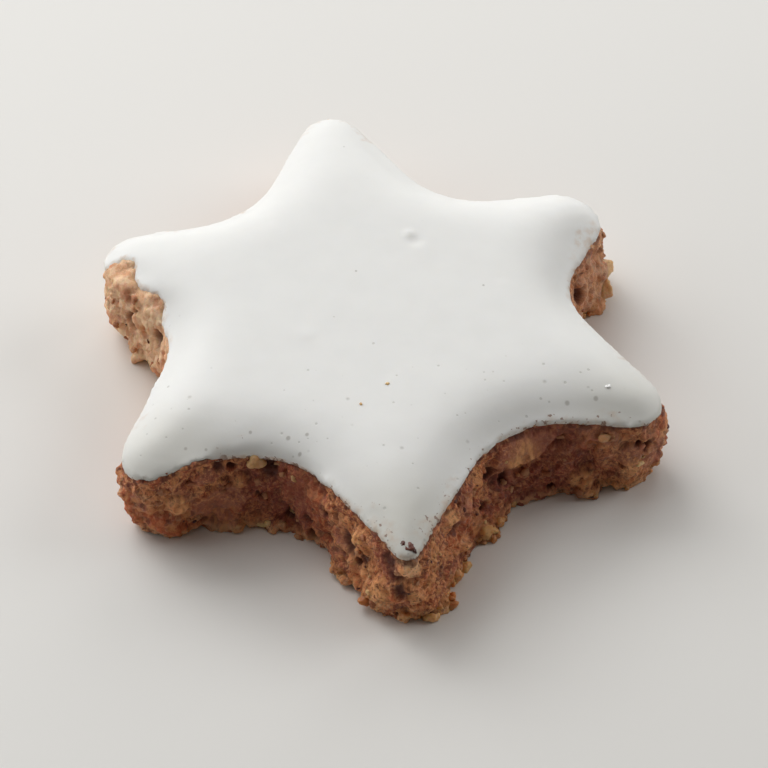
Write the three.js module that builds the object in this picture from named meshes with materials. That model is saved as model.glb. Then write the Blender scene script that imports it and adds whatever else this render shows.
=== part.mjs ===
import * as THREE from "three";

// Cinnamon star: a six-armed star of ground-nut dough, cut about a finger's breadth thick, under
// one white icing that rounds over the top edge and ends in a lip on the dough's upright wall.
// Millimetres, +Z up. The dough stands on Z = 0, and the group is centred on the origin.
//
// The outline has twelve corners, numbered clockwise as seen from above: arms are even and notches
// odd, and corner 0 is the arm that points along +Y. A station is a place on the outline, counted
// in corners, so station 6.5 is halfway from arm 6 to notch 7.

// ---- Driving dimensions ----
const CORNERS = 12;
const FULL_HEIGHT = 10.6; // floor to the flat of the icing
const SEAM_HEIGHT = 7.9; // floor to the icing's lip, where nothing lowers or lifts it
const CROWN_HEIGHT = 8.6; // floor to the dough's flat top, under the icing
const SEAM_GAP = 0.1; // clearance between the dough and the icing

// The outline's corners before they are rounded: degrees that a corner sits clockwise of an even
// star, millimetres from the centre, and the radius that rounds it.
const OUTLINE = [
  { turn: -0.7, reach: 30.6, round: 2.6 },
  { turn: 3.2, reach: 15.4, round: 8.0 },
  { turn: -0.7, reach: 30.8, round: 3.9 },
  { turn: -3.4, reach: 16.8, round: 6.5 },
  { turn: 1.7, reach: 30.3, round: 2.7 },
  { turn: -4.5, reach: 16.2, round: 9.5 },
  { turn: 1.2, reach: 28.35, round: 1.0 },
  { turn: 6.0, reach: 16.0, round: 8.0 },
  { turn: -3.2, reach: 30.3, round: 2.7 },
  { turn: 0.7, reach: 16.8, round: 7.0 },
  { turn: -1.3, reach: 29.0, round: 3.4 },
  { turn: -3.0, reach: 16.6, round: 8.5 },
];
const SIDE_LENGTH = 17; // from one corner to the next, which turns stations into millimetres

// The icing's lip, at each corner: how far it sits above or below the seam height.
const LIP_RISE = [-0.3, 0.3, -0.4, 0.3, -0.1, 0.4, 0.1, 0.8, -0.5, 0.2, -0.2, 0.3];
// Where the icing stops short, higher up the wall: round which station, how wide and by how much.
const SHORT_EDGES = [
  { station: 7.55, wide: 4.2, lift: 0.4 },
  { station: 9.6, wide: 3.2, lift: 0.6 },
];
const LIP_TUCK = 0.1; // the lip's lower edge lies this far inside the outline
const LIP_BULGE = 0.3; // and it swells this far outside it
const LIP_PROFILE = [
  { out: -LIP_TUCK, up: 0 },
  { out: 0.7 * LIP_BULGE, up: 0.05 },
  { out: LIP_BULGE, up: 0.2 },
];
const LIP_TOP = 0.3; // from the lip's lower edge to where the shoulder begins
const SHOULDER = 5.3; // width of the icing's shoulder, from its edge to its flat
const SHOULDER_BEVEL = 1.2; // the lower part of that width is straight, the rest rounds over
// The rings of the icing's top, as shares of the way in from its edge.
const SKIN_INSETS = [0.012, 0.03, 0.055, 0.085, 0.12, 0.16, 0.21, 0.28, 0.38, 0.55];

// The dough's foot, at each corner: how far it stands out past the seam, or is tucked in under it.
const FOOT = [-0.2, 0.2, 0.3, 0.2, -0.4, 0.9, -0.25, 0.5, -0.9, -0.3, -1.2, 0.0];
const FOOT_CURL = 3; // power by which the foot's line leaves the wall
const BELLY = 0.35; // the wall swells by this much at half its height
const WALL_LEVELS = [0, 0.06, 0.16, 0.3, 0.47, 0.65, 0.83, 1]; // shares of the wall's height
const CROWN_INSET = 0.1; // share of the way in at which the dough's top lies flat

// Nut crumbs squeezed out round the foot: where, how far out, how wide and how tall.
const FOOT_LUMPS = [
  { station: 0.55, out: 0.6, wide: 2.2, tall: 2.0 },
  { station: 1.4, out: 0.5, wide: 2.0, tall: 1.6 },
  { station: 2.3, out: 1.2, wide: 1.7, tall: 2.6 },
  { station: 2.52, out: 0.3, wide: 1.8, tall: 2.2 },
  { station: 3.6, out: 0.5, wide: 2.2, tall: 1.8 },
  { station: 4.7, out: 0.6, wide: 1.8, tall: 1.4 },
  { station: 5.15, out: 1.8, wide: 1.6, tall: 1.6 },
  { station: 5.34, out: 0.9, wide: 1.6, tall: 1.7 },
  { station: 5.48, out: 0.8, wide: 1.6, tall: 1.5 },
  { station: 5.66, out: 1.8, wide: 2.2, tall: 2.4 },
  { station: 5.8, out: 0.7, wide: 1.4, tall: 2.2 },
  { station: 6.03, out: 0.3, wide: 1.6, tall: 1.8 },
  { station: 6.24, out: 0.7, wide: 1.9, tall: 2.4 },
  { station: 6.52, out: 1.2, wide: 2.1, tall: 3.0 },
  { station: 7.1, out: 0.4, wide: 1.8, tall: 1.4 },
  { station: 7.75, out: 1.0, wide: 2.8, tall: 1.8 },
  { station: 8.6, out: 0.5, wide: 2.0, tall: 2.2 },
  { station: 9.55, out: 0.7, wide: 2.0, tall: 2.4 },
  { station: 10.6, out: 0.6, wide: 2.2, tall: 2.0 },
  { station: 11.35, out: 0.5, wide: 2.4, tall: 1.6 },
];

// Long waves of the torn, hand-cut wall: turns round the outline, lean with height, and start.
const WALL_WAVES = [
  { turns: 17, lean: 0.7, start: 0 },
  { turns: 29, lean: -1.1, start: 2 },
  { turns: 41, lean: 0.5, start: 4 },
];
const WAVE_SWING = 0.16;
const WAVE_CALM = 0.35; // top share of the wall in which the waves die away

const TINY = 0.001; // keeps a point clear of the line that a side lies on
const ARC_STEPS = 6; // faces round a corner
const RUN_STEPS = 6; // faces along the straight run to the next corner
const ARC_SPAN = 0.4; // stations that a corner's arc takes up

// ---- The outline ----
const wrap = (station) => ((station % CORNERS) + CORNERS) % CORNERS;

function cornerPoint(index) {
  const { turn, reach } = OUTLINE[wrap(index)];
  const angle = THREE.MathUtils.degToRad(90 - (360 / CORNERS) * index - turn);
  return new THREE.Vector2(reach * Math.cos(angle), reach * Math.sin(angle));
}

// The arc that rounds a corner: its centre and radius, where it starts and how far it turns.
function cornerArc(index) {
  const corner = cornerPoint(index);
  const before = cornerPoint(index - 1).sub(corner).normalize();
  const after = cornerPoint(index + 1).sub(corner).normalize();
  const half = Math.acos(before.dot(after)) / 2;
  const { round } = OUTLINE[wrap(index)];
  const centre = before
    .clone()
    .add(after)
    .setLength(round / Math.sin(half))
    .add(corner);
  const start = before.multiplyScalar(round / Math.tan(half)).add(corner);
  const isArm = index % 2 === 0;
  return { centre, round, isArm, from: start.sub(centre).angle(), sweep: Math.PI - 2 * half };
}

// A place on a corner's arc, with its outward normal and its station.
function arcPlace(index, share) {
  const { centre, round, isArm, from, sweep } = cornerArc(index);
  const angle = from + (isArm ? -sweep : sweep) * share;
  const ray = new THREE.Vector2(Math.cos(angle), Math.sin(angle));
  return {
    point: ray.clone().multiplyScalar(round).add(centre),
    normal: isArm ? ray : ray.negate(),
    station: index + (share - 0.5) * ARC_SPAN,
  };
}

// Places round the whole outline: each corner's arc, then the straight run to the next one.
function outlinePlaces() {
  const places = [];
  for (let index = 0; index < CORNERS; index += 1) {
    for (let step = 0; step < ARC_STEPS; step += 1) {
      places.push(arcPlace(index, step / ARC_STEPS));
    }
    const start = arcPlace(index, 1);
    const goal = arcPlace((index + 1) % CORNERS, 0);
    for (let step = 0; step < RUN_STEPS; step += 1) {
      const share = step / RUN_STEPS;
      places.push({
        point: start.point.clone().lerp(goal.point, share),
        normal: start.normal.clone(),
        station: start.station + (1 - ARC_SPAN) * share,
      });
    }
  }
  return places;
}

const PLACES = outlinePlaces();

// A value given at each corner, eased from one corner to the next.
function atStation(values, station) {
  const low = Math.floor(station);
  const ease = THREE.MathUtils.smoothstep(station - low, 0, 1);
  return THREE.MathUtils.lerp(values[wrap(low)], values[wrap(low + 1)], ease);
}

// A bell of height 1 round a station, that has died away a few times its width to either side.
function bellAt(station, { station: centre, wide }) {
  const gap = Math.abs(wrap(station) - wrap(centre));
  const apart = Math.min(gap, CORNERS - gap) * SIDE_LENGTH;
  return Math.exp(-((apart / wide) ** 2));
}

function seamHeight(station) {
  const lifts = SHORT_EDGES.map((edge) => edge.lift * bellAt(station, edge));
  return SEAM_HEIGHT + atStation(LIP_RISE, station) + lifts.reduce((sum, lift) => sum + lift, 0);
}

function pointAt(place, out, height) {
  const { point, normal } = place;
  return new THREE.Vector3(point.x + normal.x * out, point.y + normal.y * out, height);
}

// ---- The dough ----
// How far the crumbs round the foot push the wall out.
function crumbsAt(station, height) {
  return FOOT_LUMPS.reduce(
    (sum, lump) => sum + lump.out * bellAt(station, lump) * Math.exp(-((height / lump.tall) ** 2)),
    0,
  );
}

function wavesAt(station, height) {
  const angle = (station / CORNERS) * 2 * Math.PI;
  return WALL_WAVES.reduce(
    (sum, { turns, lean, start }) => sum + WAVE_SWING * Math.sin(turns * angle + lean * height + start),
    0,
  );
}

function wallPoint(place, share) {
  const { station } = place;
  const height = share * seamHeight(station);
  const foot = atStation(FOOT, station) * (1 - share) ** FOOT_CURL;
  const belly = BELLY * Math.sin(Math.PI * share);
  const waves = wavesAt(station, height) * Math.min(1, (1 - share) / WAVE_CALM);
  return pointAt(place, foot + belly + waves + crumbsAt(station, height), height);
}

// Points of the dough's flat top, or of the icing's underside lifted clear of it.
function crownPoint({ point }, lift) {
  const share = 1 - CROWN_INSET;
  return new THREE.Vector3(point.x * share, point.y * share, CROWN_HEIGHT + lift);
}

function doughGeometry() {
  const wall = WALL_LEVELS.map((share) => PLACES.map((place) => wallPoint(place, share)));
  const crown = PLACES.map((place) => crownPoint(place, 0));
  return solidFromRings([...wall, crown]);
}

// ---- The icing ----
// How far a point inside the outline is from its edge, by a measure with no crease along an arm:
// the integral of 1 / r^3 along the edge, which beside a long straight edge gives 2 / distance^2.
function edgeDistance(x, y) {
  const sum = PLACES.reduce((total, { point: from }, index) => {
    const along = PLACES[(index + 1) % PLACES.length].point.clone().sub(from);
    const reach = along.length();
    along.normalize();
    const start = (from.x - x) * along.x + (from.y - y) * along.y;
    const aside = Math.max(Math.abs((from.x - x) * along.y - (from.y - y) * along.x), TINY);
    const term = (s) => s / (aside ** 2 * Math.hypot(aside, s));
    return total + term(start + reach) - term(start);
  }, 0);
  return Math.sqrt(2 / sum);
}

// Share of its height that the shoulder has reached at a distance from the edge.
function shoulderRise(distance) {
  const rounding = SHOULDER - SHOULDER_BEVEL;
  const straight = Math.min(distance, SHOULDER_BEVEL);
  const round = THREE.MathUtils.clamp(distance - SHOULDER_BEVEL, 0, rounding);
  const rise = straight + round - round ** 2 / (2 * rounding);
  return rise / (SHOULDER_BEVEL + rounding / 2);
}

function skinPoint({ point, station }, inset) {
  const x = point.x * (1 - inset);
  const y = point.y * (1 - inset);
  const low = seamHeight(station) + LIP_TOP;
  return new THREE.Vector3(x, y, low + (FULL_HEIGHT - low) * shoulderRise(edgeDistance(x, y)));
}

function icingGeometry() {
  const underside = PLACES.map((place) => crownPoint(place, SEAM_GAP));
  const lip = LIP_PROFILE.map(({ out, up }) =>
    PLACES.map((place) => pointAt(place, out, seamHeight(place.station) + SEAM_GAP + up)),
  );
  const skin = SKIN_INSETS.map((inset) => PLACES.map((place) => skinPoint(place, inset)));
  return solidFromRings([underside, ...lip, ...skin]);
}

// ---- Solids from rings ----
// The rings are of equal length, each listed clockwise, from the outer face's lower end to its
// upper end. Bands join them, and a fan round a hub closes the first and the last of them.
function solidFromRings(rings) {
  const count = rings[0].length;
  const points = rings.flat();
  const index = [];

  const joinBand = (low, high) => {
    for (let i = 0; i < count; i += 1) {
      const j = (i + 1) % count;
      index.push(low + i, high + i, low + j, low + j, high + i, high + j);
    }
  };
  const closeWithFan = (ring, first, facesUp) => {
    const heights = ring.reduce((sum, point) => sum + point.z, 0);
    const hub = points.push(new THREE.Vector3(0, 0, heights / count)) - 1;
    for (let i = 0; i < count; i += 1) {
      const side = [first + i, first + ((i + 1) % count)];
      index.push(hub, ...(facesUp ? side.reverse() : side));
    }
  };

  for (let level = 1; level < rings.length; level += 1) {
    joinBand((level - 1) * count, level * count);
  }
  closeWithFan(rings[0], 0, false);
  closeWithFan(rings.at(-1), (rings.length - 1) * count, true);

  const geometry = new THREE.BufferGeometry().setFromPoints(points);
  geometry.setIndex(index);
  geometry.computeVertexNormals();
  return geometry;
}

// ---- The biscuit ----
function piece(name, geometry, color, roughness) {
  const material = new THREE.MeshStandardMaterial({ color, roughness, metalness: 0 });
  const mesh = new THREE.Mesh(geometry, material);
  mesh.name = name;
  return mesh;
}

const cinnamonStar = new THREE.Group();
cinnamonStar.add(
  piece("dough", doughGeometry(), 0x9a6646, 0.85),
  piece("icing", icingGeometry(), 0xf1f0ea, 0.5),
);

// Centre the group over the origin, as its uneven arms leave it a little off.
const middle = new THREE.Box3().setFromObject(cinnamonStar).getCenter(new THREE.Vector3());
cinnamonStar.position.set(-middle.x, -middle.y, 0);

export default cinnamonStar;
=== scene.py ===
"""A cinnamon star: a thick six-armed star of coarse nut dough under a white sugar icing.

The packed solids give the biscuit's outline. One skin round both of them is parted again along the
seam into the dough's torn crumb and the icing's smooth shell, so the two fit each other however
uneven they are. Nut chips, dark skins and foot crumbs are then scattered over the dough, smaller
crumbs along the icing's edge, and the bits that stand out are placed one by one. Lengths are in
metres; settings and tables of places give them in millimetres.
"""

import math
from contextlib import contextmanager

import bmesh
import bpy
from bpy.props import FloatProperty, FloatVectorProperty, PointerProperty
from mathutils import Matrix, Vector


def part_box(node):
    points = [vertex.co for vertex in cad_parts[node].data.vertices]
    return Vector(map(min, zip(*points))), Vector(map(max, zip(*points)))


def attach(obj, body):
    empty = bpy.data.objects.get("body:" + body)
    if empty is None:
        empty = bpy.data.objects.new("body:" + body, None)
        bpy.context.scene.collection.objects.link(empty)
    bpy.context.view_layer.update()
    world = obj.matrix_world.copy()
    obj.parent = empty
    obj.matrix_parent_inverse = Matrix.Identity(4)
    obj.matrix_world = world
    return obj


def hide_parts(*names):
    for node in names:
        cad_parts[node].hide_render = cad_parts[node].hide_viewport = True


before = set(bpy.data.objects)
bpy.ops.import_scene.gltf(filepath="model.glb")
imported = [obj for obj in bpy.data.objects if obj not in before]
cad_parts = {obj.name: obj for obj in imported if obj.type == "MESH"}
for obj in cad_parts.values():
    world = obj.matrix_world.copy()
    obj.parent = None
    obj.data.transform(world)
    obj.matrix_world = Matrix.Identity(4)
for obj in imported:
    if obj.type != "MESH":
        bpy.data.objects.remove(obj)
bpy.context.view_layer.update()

bl_info = {
    "name": "Cinnamon Star",
    "version": (1, 0, 0),
    "blender": (4, 5, 0),
    "location": "View3D > Sidebar > Cinnamon Star",
    "description": "Builds a cinnamon star biscuit from its dough and icing solids",
    "category": "Add Mesh",
}

MM = 0.001
BODY = "root"


# ---- Settings ----
def length(name, description, default):
    """A size property, given in millimetres and kept in metres."""
    return FloatProperty(name=name, description=description, default=default * MM, unit="LENGTH",
                         precision=5)


def colour(name, description, default):
    return FloatVectorProperty(name=name, description=description, default=default,
                               subtype="COLOR", size=3, min=0, max=1)


def number(name, description, default):
    return FloatProperty(name=name, description=description, default=default, min=0)


class StarSkinSettings(bpy.types.PropertyGroup):
    """The skin round the whole biscuit, which dough and icing are both made from."""

    voxel: length("Voxel", "Grid that the skin is made on", 0.355)
    wave_span: length("Seam wave", "Length of the slow waves in the icing's edge", 4.5)
    wave_swing: length("Seam swing", "How far the slow waves move the icing's edge", 0.4)
    nick_span: length("Seam nick", "Length of the small nicks in the icing's edge", 0.8)
    nick_swing: length("Seam nick depth", "How far the small nicks move the icing's edge", 0.5)
    drop: length("Seam drop", "How far below the solids' seam the icing's edge lies", 0.3)
    worn_lift: length("Worn lift", "How far up the icing is worn back on the left arm", 1.3)


class DoughSettings(bpy.types.PropertyGroup):
    """Crumb and colours of the nut dough."""

    plateau: length("Plateau", "Size of the largest lumps", 2.4)
    crumb: length("Crumb", "Size of the nut crumbs", 1.05)
    grain: length("Grain", "Size of the finest grains modelled", 0.46)
    depth: length("Depth", "Depth of the crumb's relief", 0.36)
    pit_spacing: length("Pit spacing", "Mean distance between the small holes", 1.9)
    pit_depth: length("Pit depth", "Depth of the small holes", 0.6)
    foot_height: length("Foot height", "Height over which the foot is ragged", 1.7)
    mid: colour("Crumb colour", "Baked dough", (0.55, 0.128, 0.040))
    # dark crumb, and also the painted shade in recesses, holes and under the icing's edge
    deep: colour("Gap colour", "Dough deep in the gaps", (0.10, 0.020, 0.009))
    film: colour("Film colour", "Dough that the cutter pressed smooth", (0.50, 0.185, 0.110))
    tan: colour("Tan colour", "Cut nut flesh", (0.70, 0.30, 0.12))
    # painted light: flanks and back that face the lamps are paler, partly also a paler tone
    pale_and_lit: colour("Dry colour", "Flanks that baked paler and drier", (0.98, 0.68, 0.43))
    # also the paler grains, which stand partly for painted highlights on the crumb
    lump: colour("Lump colour", "Dry crests of the larger lumps", (0.96, 0.48, 0.20))
    # partly amber tone, partly painted glow of light through the thin foot
    amber: colour("Amber colour", "Moist dough round the foot", (0.64, 0.27, 0.08))
    lit: colour("Lit colour", "Thin edges that light shines through", (0.92, 0.55, 0.30))
    skin: colour("Skin colour", "Dark nut skin", (0.09, 0.024, 0.013))
    # painted shade: the colour of the notch walls and of the front arm's shaded side
    moist: colour("Moist colour", "Dough that stayed moist in the notches", (0.29, 0.062, 0.036))


class IcingSettings(bpy.types.PropertyGroup):
    """Shape and colours of the sugar icing."""

    skirt: length("Skirt", "How far below the seam the icing is carried on, inside the dough", 1.1)
    thinning: length("Thinning", "Height over which the icing's edge tapers", 0.9)
    thickness: length("Thickness", "The icing's greatest thickness", 1.25)
    lip: length("Lip", "How far the icing's edge stands out", 0.05)
    white: colour("Icing colour", "Dried sugar icing", (0.87, 0.872, 0.85))
    stain: colour("Stain colour", "Dough showing through where the icing is thin",
                  (0.62, 0.44, 0.30))
    # also painted shade on the three front arms
    grey: colour("Grey colour", "Icing that is thin, but still covers", (0.66, 0.65, 0.59))
    nick: colour("Nick colour", "Dough in the small nicks of the icing's edge", (0.26, 0.13, 0.08))
    pinhole: colour("Pinhole colour", "Shade inside the smallest air holes", (0.42, 0.40, 0.36))


def bit_settings(name, what, density, size, pale, deep):
    """A property group for one kind of scattered bit: how many, how large and which colours."""
    return type(name, (bpy.types.PropertyGroup,), {"__doc__": what, "__annotations__": {
        "density": number("Density", "Bits on a square centimetre", density),
        "size": length("Size", "Length of a middling bit", size),
        "first": colour("Pale", "Palest bits", pale),
        "second": colour("Deep", "Deepest bits", deep),
    }})


AlmondSettings = bit_settings(
    "AlmondSettings", "Pale chips of peeled almond in the dough.",
    2.2, 0.75, (0.86, 0.55, 0.26), (0.64, 0.34, 0.15))
NutSettings = bit_settings(
    "NutSettings", "Brown chips of unpeeled nut in the dough.",
    12, 0.8, (0.58, 0.29, 0.14), (0.36, 0.115, 0.045))
SkinFleckSettings = bit_settings(
    "SkinFleckSettings", "Dark flecks of nut skin.",
    4, 0.5, (0.15, 0.038, 0.020), (0.065, 0.018, 0.011))
EdgeCrumbSettings = bit_settings(
    "EdgeCrumbSettings", "Small crumbs of dough caught in the icing's edge.",
    120, 0.34, (0.62, 0.32, 0.17), (0.20, 0.055, 0.028))
FootCrumbSettings = bit_settings(
    "FootCrumbSettings", "Moist amber crumbs squeezed out where the biscuit stands.",
    48, 0.8, (0.80, 0.44, 0.17), (0.56, 0.22, 0.07))


class SugarBeadSettings(bpy.types.PropertyGroup):
    """The bead of sugar that dried glossy on the right arm."""

    # whiter than the icing, partly as a painted glint
    glossy: colour("Bead colour", "Glossy sugar", (0.96, 0.96, 0.94))


class StageSettings(bpy.types.PropertyGroup):
    """Camera, floor and light."""

    azimuth: FloatProperty(name="Azimuth", description="Turn of the camera round the biscuit",
                           default=math.radians(-7.8), subtype="ANGLE")
    elevation: FloatProperty(name="Elevation", description="Camera's angle above the floor",
                             default=math.radians(46.4), subtype="ANGLE")
    distance: length("Distance", "From the camera to the middle of the view", 297)
    lens: FloatProperty(name="Lens", description="Focal length in millimetres on a 36 mm sensor",
                        default=154.5, min=1)
    floor: colour("Floor colour", "Plain pale surface", (0.83, 0.82, 0.79))
    light: number("Light", "Strength of all the lamps together", 1.77)
    fill: number("Fill", "Strength of the light from all round", 0.07)


# ---- Node trees ----
def in_metres(table):
    """The rows of a table of places, with the middle and the reach brought from millimetres."""
    for middle, reach, *rest in table:
        yield (Vector(middle) * MM, reach * MM, *rest)


def enabled(sockets, key):
    """The socket of that name or number, out of those that the node's settings leave in use."""
    if isinstance(key, int):
        return sockets[key]
    return next(socket for socket in sockets if socket.enabled and key in (None, socket.name))


def math_method(operation, swapped=False):
    """A Wire's method that adds a node for that operation, its two sides swapped if asked."""
    def method(self, other):
        return self.maths(operation, *((other, self) if swapped else (self, other)))
    return method


class Wire:
    """A node's output. Arithmetic on it adds nodes that work it out."""

    def __init__(self, board, socket):
        self.board = board
        self.socket = socket

    def out(self, name):
        """Another output of the same node."""
        return Wire(self.board, enabled(self.socket.node.outputs, name))

    def maths(self, operation, *values):
        """A Math node on the values, or a Vector Math node where one of them is a vector."""
        if any(isinstance(value, Wire) and value.socket.type == "VECTOR" for value in values):
            kind = "ShaderNodeVectorMath"
            values = [Vector.Fill(3, value) if isinstance(value, (int, float)) else value
                      for value in values]
        else:
            kind = "ShaderNodeMath"
        return self.board.add(kind, {"operation": operation}, dict(enumerate(values)))

    __add__, __radd__ = math_method("ADD"), math_method("ADD", swapped=True)
    __sub__, __rsub__ = math_method("SUBTRACT"), math_method("SUBTRACT", swapped=True)
    __mul__, __rmul__ = math_method("MULTIPLY"), math_method("MULTIPLY", swapped=True)
    __truediv__ = math_method("DIVIDE")
    least, most = math_method("MINIMUM"), math_method("MAXIMUM")

    def __neg__(self):
        return self.maths("MULTIPLY", self, -1)

    def __gt__(self, other):
        return self.board.add("FunctionNodeCompare", {"operation": "GREATER_THAN"},
                              {"A": self, "B": other})

    def part(self, axis):
        """One component of a vector or a colour."""
        return self.board.add("ShaderNodeSeparateXYZ", inputs={"Vector": self}, out=axis)

    def ramp(self, low, high, start=0.0, end=1.0):
        """Eases from start to end while this goes from low to high, and stays there."""
        inputs = {"Value": self, "From Min": low, "From Max": high, "To Min": start, "To Max": end}
        return self.board.add("ShaderNodeMapRange", {"interpolation_type": "SMOOTHSTEP"}, inputs)


class Board:
    """A node tree that is being wired up."""

    def __init__(self, tree):
        self.tree = tree

    def add(self, kind, settings=None, inputs=None, out=None):
        """A new node with its settings and inputs; gives one of its outputs as a Wire."""
        node = self.tree.nodes.new(kind)
        for name, value in (settings or {}).items():
            setattr(node, name, value)
        for key, value in (inputs or {}).items():
            socket = enabled(node.inputs, key)
            if isinstance(value, Wire):
                self.tree.links.new(value.socket, socket)
            else:
                socket.default_value = value
        return Wire(self, enabled(node.outputs, out)) if node.outputs else None

    def noise(self, place, size, detail=2.0, roughness=0.5):
        """Cloudy noise from 0 to 1, with lumps of about that size."""
        inputs = {"Vector": place / size, "Scale": 1.0, "Detail": detail, "Roughness": roughness}
        return self.add("ShaderNodeTexNoise", inputs=inputs)

    def swing(self, place, size, detail=2.0):
        """Cloudy noise about 0, from -1 to 1."""
        return self.noise(place, size, detail) * 2 - 1

    def cells(self, place, size, soft=0.0):
        """Nearest cell of a foam: the distance to its seed, in cells, and its own colour."""
        inputs = {"Vector": place / size, "Scale": 1.0}
        if soft:
            inputs["Smoothness"] = soft
        settings = {"feature": "SMOOTH_F1" if soft else "F1"}
        return self.add("ShaderNodeTexVoronoi", settings, inputs)

    def bend(self, place, size, swing):
        """The place, shifted by cloudy noise, so that what is drawn there gets ragged."""
        inputs = {"Vector": place / size, "Scale": 1.0, "Detail": 2.0}
        noise = self.add("ShaderNodeTexNoise", inputs=inputs, out="Color")
        return place + (noise - 0.5) * (swing * 2)

    def near(self, place, centre, reach, soft):
        """1 inside a ball of that reach, easing to 0 over the soft share of it."""
        away = self.add("ShaderNodeVectorMath", {"operation": "DISTANCE"},
                        {0: place, 1: centre}, out="Value")
        return away.ramp(reach * (1 - soft), reach, 1, 0)

    def strongest(self, place, table, soft, least=0):
        """The strongest of a table's balls, each of them as strong as its share says."""
        for centre, reach, share in in_metres(table):
            least = (self.near(place, centre, reach, soft) * share).most(least)
        return least


class GeometryBoard(Board):
    """A Geometry Nodes tree with named inputs, which changes one piece's mesh."""

    def __init__(self, name, sizes=(), numbers=(), seeds=(), objects=()):
        super().__init__(bpy.data.node_groups.new(name, "GeometryNodeTree"))
        sockets = self.tree.interface
        inputs = {"Geometry": ("Geometry",), "Float": (*sizes, *numbers), "Int": seeds,
                  "Object": objects}
        for kind, names in inputs.items():
            for item in names:
                socket = sockets.new_socket(item, in_out="INPUT", socket_type="NodeSocket" + kind)
                if item in sizes:
                    socket.subtype = "DISTANCE"
        sockets.new_socket("Geometry", in_out="OUTPUT", socket_type="NodeSocketGeometry")
        self.start = self.add("NodeGroupInput")

    def named(self, name):
        """One of the tree's own inputs."""
        return self.start.out(name)

    def place(self):
        return self.add("GeometryNodeInputPosition")

    def normal(self):
        return self.add("GeometryNodeInputNormal")

    def read(self, name, kind="FLOAT"):
        """An attribute of the mesh."""
        return self.add("GeometryNodeInputNamedAttribute", {"data_type": kind}, {"Name": name})

    def mesh_of(self, name):
        """The mesh of the piece that one of the tree's own inputs names."""
        inputs = {"Object": self.named(name)}
        return self.add("GeometryNodeObjectInfo", inputs=inputs, out="Geometry")

    def distance_to(self, mesh):
        return self.add("GeometryNodeProximity", {"target_element": "FACES"}, {0: mesh},
                        out="Distance")

    def store(self, geometry, name, value, kind="FLOAT", domain="POINT"):
        settings = {"data_type": kind, "domain": domain}
        inputs = {"Geometry": geometry, "Name": name, "Value": value}
        return self.add("GeometryNodeStoreNamedAttribute", settings, inputs)

    def keep(self, geometry, **values):
        """Stores several attributes; three values together make a vector."""
        for name, value in values.items():
            value = self.vector(*value) if isinstance(value, tuple) else value
            kind = "FLOAT_VECTOR" if value.socket.type == "VECTOR" else "FLOAT"
            geometry = self.store(geometry, name, value, kind)
        return geometry

    def vector(self, x, y, z):
        return self.add("ShaderNodeCombineXYZ", inputs={"X": x, "Y": y, "Z": z})

    def shift(self, geometry, **inputs):
        """Moves points by an Offset or to a Position, all of them or a Selection."""
        return self.add("GeometryNodeSetPosition", inputs={"Geometry": geometry, **inputs})

    def rest(self, geometry):
        """Lifts whatever hangs below the floor up on to it."""
        place = self.place()
        raised = self.vector(place.part("X"), place.part("Y"), place.part("Z").most(0))
        return self.shift(geometry, Position=raised)

    def random(self, low, high, seed, kind="FLOAT"):
        inputs = {"Min": low, "Max": high, "Seed": seed}
        return self.add("FunctionNodeRandomValue", {"data_type": kind}, inputs)

    def finish(self, geometry, material):
        """Ends the tree: instances made real, and the piece's material on every face."""
        real = self.add("GeometryNodeRealizeInstances", inputs={"Geometry": geometry})
        inputs = {"Geometry": real, "Material": material}
        painted = self.add("GeometryNodeSetMaterial", inputs=inputs)
        self.add("NodeGroupOutput", inputs={"Geometry": painted})
        return self.tree


class ShaderBoard(Board):
    """A new material's node tree."""

    def __init__(self, name):
        self.material = bpy.data.materials.new(name)
        self.material.use_nodes = True
        super().__init__(self.material.node_tree)
        self.tree.nodes.clear()

    def place(self):
        return self.add("ShaderNodeTexCoord", out="Object")

    def read(self, name, out="Fac"):
        """An attribute of the mesh."""
        return self.add("ShaderNodeAttribute", {"attribute_name": name}, out=out)

    def blend(self, factor, first, second):
        """The first colour where the factor is 0 and the second where it is 1."""
        inputs = {"Factor": factor, "A": opaque(first), "B": opaque(second)}
        return self.add("ShaderNodeMix", {"data_type": "RGBA"}, inputs)

    def paint(self, tone, *layers):
        """The tone with layers over it, each of them a factor and a colour."""
        for factor, colour in layers:
            tone = self.blend(factor, tone, colour)
        return tone

    def bump(self, height, distance):
        return self.add("ShaderNodeBump", inputs={"Height": height, "Distance": distance})

    def finish(self, **inputs):
        """Ends the material in a Principled shader; gives the material."""
        named = {key.replace("_", " ").title(): value for key, value in inputs.items()}
        surface = self.add("ShaderNodeBsdfPrincipled", inputs=named)
        self.add("ShaderNodeOutputMaterial", inputs={"Surface": surface})
        return self.material


def dimmed(tone, share):
    """A colour of which only that share is left."""
    return [channel * share for channel in tone]


def opaque(value):
    """A colour with its alpha, or the Wire that it already is."""
    return value if isinstance(value, Wire) else (*value, 1.0)


# ---- Meshes ----
def new_piece(name, mesh):
    piece = bpy.data.objects.new(name, mesh)
    bpy.context.scene.collection.objects.link(piece)
    return piece


@contextmanager
def editing(mesh):
    """Opens the mesh for editing, and writes it back in the end."""
    work = bmesh.new()
    work.from_mesh(mesh)
    yield work
    work.to_mesh(mesh)
    work.free()


def flatten(piece):
    """Turns the piece's modifiers into its plain mesh."""
    evaluated = piece.evaluated_get(bpy.context.evaluated_depsgraph_get())
    mesh = bpy.data.meshes.new_from_object(evaluated)
    piece.modifiers.clear()
    piece.data = mesh
    mesh.name = piece.name


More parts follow.
